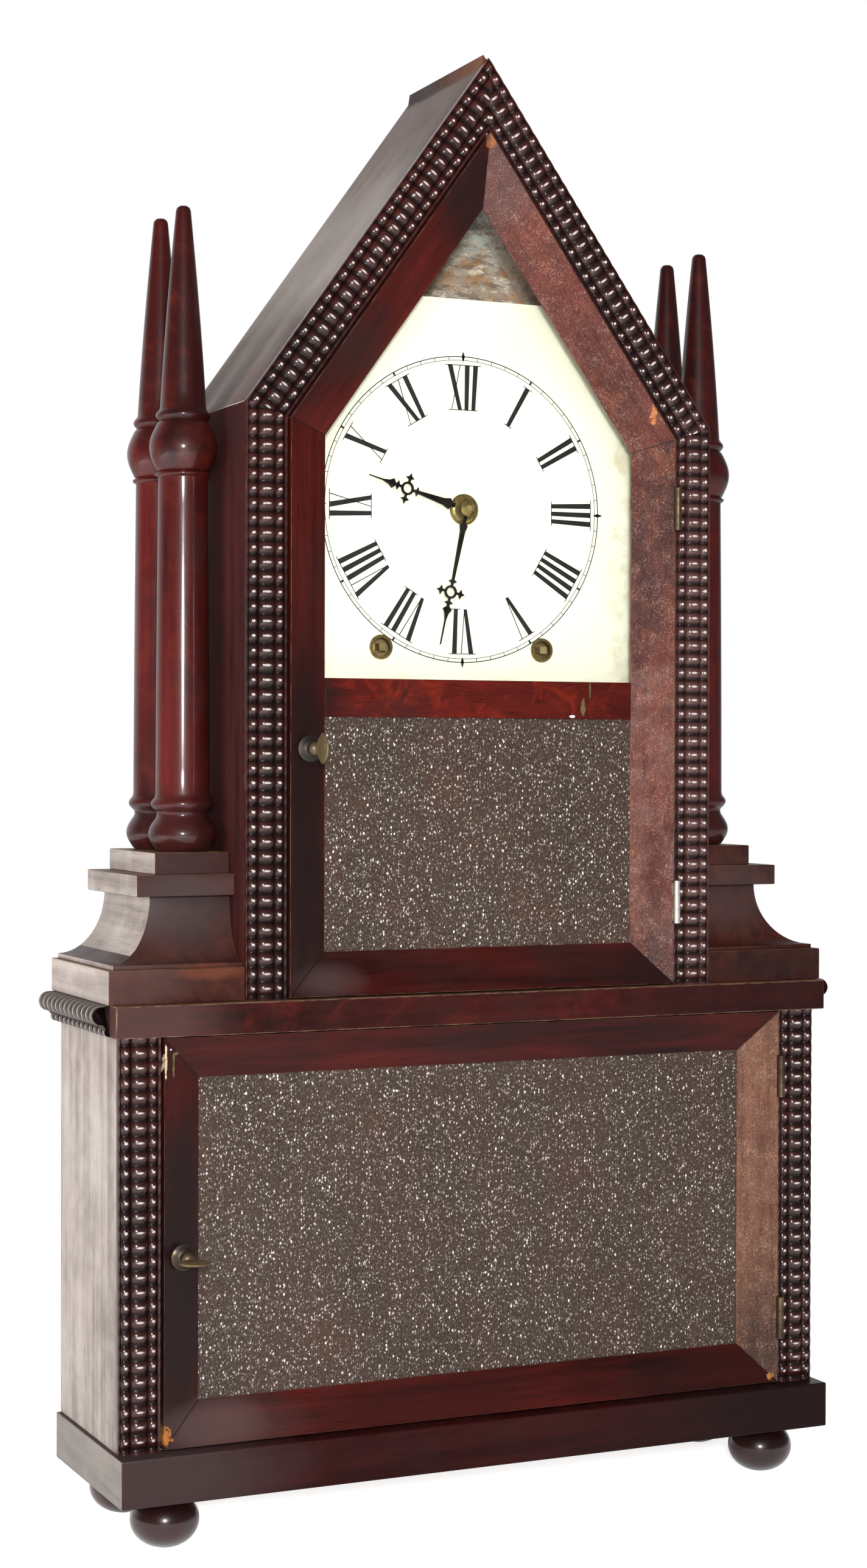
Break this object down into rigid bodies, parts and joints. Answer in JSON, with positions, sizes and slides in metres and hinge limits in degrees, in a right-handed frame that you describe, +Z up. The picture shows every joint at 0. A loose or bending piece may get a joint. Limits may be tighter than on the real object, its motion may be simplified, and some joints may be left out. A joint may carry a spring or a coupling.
{
  "type": "double steeple shelf clock",
  "caption": "Gothic double-steeple shelf clock with ripple mouldings, turned spires on coved plinths, hinged glazed doors, painted dial, geared movement, pendulum and wagon spring.",
  "frame": {"origin": "centre of the bounding box across and front to back, on the plane the feet stand on", "axes": "+Z up, the dial and doors face -Y, +X to the right as seen from the front"},
  "size_m": [0.376, 0.108, 0.6691],
  "materials": {
    "wood_base": "old varnish over dark mahogany veneer",
    "wood_feet": "dark varnish",
    "pine": "bare softwood",
    "mahogany_sides": "worn varnished mahogany veneer",
    "frame_wood": "stained softwood",
    "ripple_wood": "varnished ripple-cut mahogany",
    "cornice_wood": "varnished mahogany",
    "plinth_wood": "varnished mahogany veneer",
    "column_wood": "glossy varnish on turned mahogany",
    "door_wood": "glossy varnish on mahogany veneer",
    "clear_glass": "clear old glass",
    "speckled_glass": "painted glass tablet flecked with metallic specks",
    "hinge_brass": "worn",
    "knob_brass": "aged",
    "dial_paint": "cream paint on sheet metal",
    "grommet_brass": "aged",
    "hand_steel": "blued and darkened",
    "movement_brass": "aged",
    "verge_steel": "plain",
    "bell_metal": "cast bell metal",
    "bob_brass": "aged",
    "spring_steel": "oiled spring steel",
    "iron": "black",
    "cord": "twisted gut or linen cord"
  },
  "bodies": {
    "case": {"base_frame": "wood_base", "bun_feet": "wood_feet", "bottom_board": "pine", "lower_sides": "mahogany_sides", "lower_back_board": "pine", "lower_face_frame": "frame_wood", "lower_ripples": "ripple_wood", "cornice_board": "cornice_wood", "cornice_ripples": "ripple_wood", "plinth_slabs": "plinth_wood", "plinth_coves": "plinth_wood", "plinth_caps": "plinth_wood", "plinth_steps": "plinth_wood", "columns_left": "column_wood", "columns_right": "column_wood", "upper_sides": "mahogany_sides", "roof_boards": "mahogany_sides", "upper_back_board": "pine", "upper_face_frame": "frame_wood", "upper_ripples": "ripple_wood", "gable_ripples": "ripple_wood", "case_hinge_leaves": "hinge_brass", "dial_plate": "dial_paint", "winding_grommets": "grommet_brass", "dial_posts": "pine", "front_plate": "movement_brass", "back_plate": "movement_brass", "movement_pillars": "movement_brass", "bell": "bell_metal", "wagon_spring": "spring_steel", "spring_clamp": "iron", "lift_levers": "iron", "drive_cords": "cord"},
    "upper_door": {"upper_door_frame": "door_wood", "upper_mid_rail": "door_wood", "dial_glass": "clear_glass", "upper_tablet": "speckled_glass", "upper_door_leaves": "hinge_brass"},
    "upper_latch": {"upper_knob": "knob_brass"},
    "lower_door": {"lower_door_frame": "door_wood", "lower_tablet": "speckled_glass", "lower_door_leaves": "hinge_brass"},
    "lower_latch": {"lower_knob": "knob_brass"},
    "minute_shaft": {"centre_arbor": "movement_brass", "minute_hand": "hand_steel", "hand_nut": "grommet_brass"},
    "hour_shaft": {"hour_hand": "hand_steel"},
    "motion_wheel": {"minute_wheel": "movement_brass"},
    "time_second": {"second_wheel": "movement_brass"},
    "time_great": {"great_wheel_time": "movement_brass"},
    "time_third": {"third_wheel": "movement_brass"},
    "time_escape": {"escape_wheel": "movement_brass"},
    "verge_arbor": {"verge": "verge_steel"},
    "pendulum_swing": {"pendulum": "bob_brass"},
    "strike_great": {"great_wheel_strike": "movement_brass"},
    "strike_pin": {"pin_wheel": "movement_brass"},
    "strike_warning": {"warning_wheel": "movement_brass"},
    "strike_fly": {"fly": "movement_brass"},
    "hammer_arbor": {"hammer": "verge_steel"}
  },
  "joints": [
    {"name": "upper_door_hinge", "type": "hinge", "parent": "case", "child": "upper_door", "pos_m": [0.0981, -0.0359, 0.3585], "axis": [0, 0, 1], "range_deg": [0, 110]},
    {"name": "upper_latch_turn", "type": "hinge", "parent": "upper_door", "child": "upper_latch", "pos_m": [-0.08795, -0.026, 0.35], "axis": [0, 1, 0], "range_deg": [0, 90]},
    {"name": "lower_door_hinge", "type": "hinge", "parent": "case", "child": "lower_door", "pos_m": [0.1566, -0.0359, 0.1335], "axis": [0, 0, 1], "range_deg": [0, 110]},
    {"name": "lower_latch_turn", "type": "hinge", "parent": "lower_door", "child": "lower_latch", "pos_m": [-0.14695, -0.026, 0.1275], "axis": [0, 1, 0], "range_deg": [0, 90]},
    {"name": "minute_spin", "type": "hinge", "parent": "case", "child": "minute_shaft", "pos_m": [0, 0.019, 0.4622], "axis": [0, 1, 0], "continuous": true},
    {"name": "hour_spin", "type": "hinge", "parent": "case", "child": "hour_shaft", "pos_m": [0, -0.002, 0.4622], "axis": [0, 1, 0], "continuous": true},
    {"name": "motion_spin", "type": "hinge", "parent": "case", "child": "motion_wheel", "pos_m": [-0.01358, 0, 0.44862], "axis": [0, 1, 0], "continuous": true},
    {"name": "time_second_spin", "type": "hinge", "parent": "case", "child": "time_second", "pos_m": [-0.0209, 0.019, 0.42951], "axis": [0, 1, 0], "continuous": true},
    {"name": "time_great_spin", "type": "hinge", "parent": "case", "child": "time_great", "pos_m": [-0.04159, 0.019, 0.39716], "axis": [0, 1, 0], "continuous": true},
    {"name": "time_third_spin", "type": "hinge", "parent": "case", "child": "time_third", "pos_m": [-0.01319, 0.019, 0.48104], "axis": [0, 1, 0], "continuous": true},
    {"name": "time_escape_spin", "type": "hinge", "parent": "case", "child": "time_escape", "pos_m": [0, 0.019, 0.49802], "axis": [0, 1, 0], "continuous": true},
    {"name": "pendulum_hinge", "type": "hinge", "parent": "case", "child": "pendulum_swing", "pos_m": [0, 0.04, 0.53102], "axis": [0, 1, 0], "range_deg": [-2.5, 2.5]},
    {"name": "verge_hinge", "type": "hinge", "parent": "case", "child": "verge_arbor", "pos_m": [0, 0.024, 0.51702], "axis": [0, 1, 0], "range_deg": [-3.7, 3.7]},
    {"name": "strike_great_spin", "type": "hinge", "parent": "case", "child": "strike_great", "pos_m": [0.04159, 0.019, 0.39716], "axis": [0, 1, 0], "continuous": true},
    {"name": "strike_pin_spin", "type": "hinge", "parent": "case", "child": "strike_pin", "pos_m": [0.0209, 0.019, 0.42951], "axis": [0, 1, 0], "continuous": true},
    {"name": "strike_warning_spin", "type": "hinge", "parent": "case", "child": "strike_warning", "pos_m": [0.03315, 0.019, 0.45073], "axis": [0, 1, 0], "continuous": true},
    {"name": "strike_fly_spin", "type": "hinge", "parent": "case", "child": "strike_fly", "pos_m": [0.04165, 0.019, 0.46545], "axis": [0, 1, 0], "continuous": true},
    {"name": "hammer_hinge", "type": "hinge", "parent": "case", "child": "hammer_arbor", "pos_m": [0.05799, 0.014, 0.43596], "axis": [0, -1, 0], "range_deg": [0, 8]}
  ],
  "couplings": [
    {"joint": "time_second_spin", "follows": "minute_spin", "ratio": -0.2125},
    {"joint": "time_great_spin", "follows": "minute_spin", "ratio": 0.0425},
    {"joint": "time_third_spin", "follows": "minute_spin", "ratio": -10.5},
    {"joint": "time_escape_spin", "follows": "minute_spin", "ratio": 102.38},
    {"joint": "motion_spin", "follows": "minute_spin", "ratio": -0.33333},
    {"joint": "hour_spin", "follows": "minute_spin", "ratio": 0.083333},
    {"joint": "verge_hinge", "follows": "pendulum_hinge", "ratio": 1.4636},
    {"joint": "strike_great_spin", "follows": "strike_pin_spin", "ratio": -0.2},
    {"joint": "strike_warning_spin", "follows": "strike_pin_spin", "ratio": -11.25},
    {"joint": "strike_fly_spin", "follows": "strike_pin_spin", "ratio": 84.375}
  ]
}
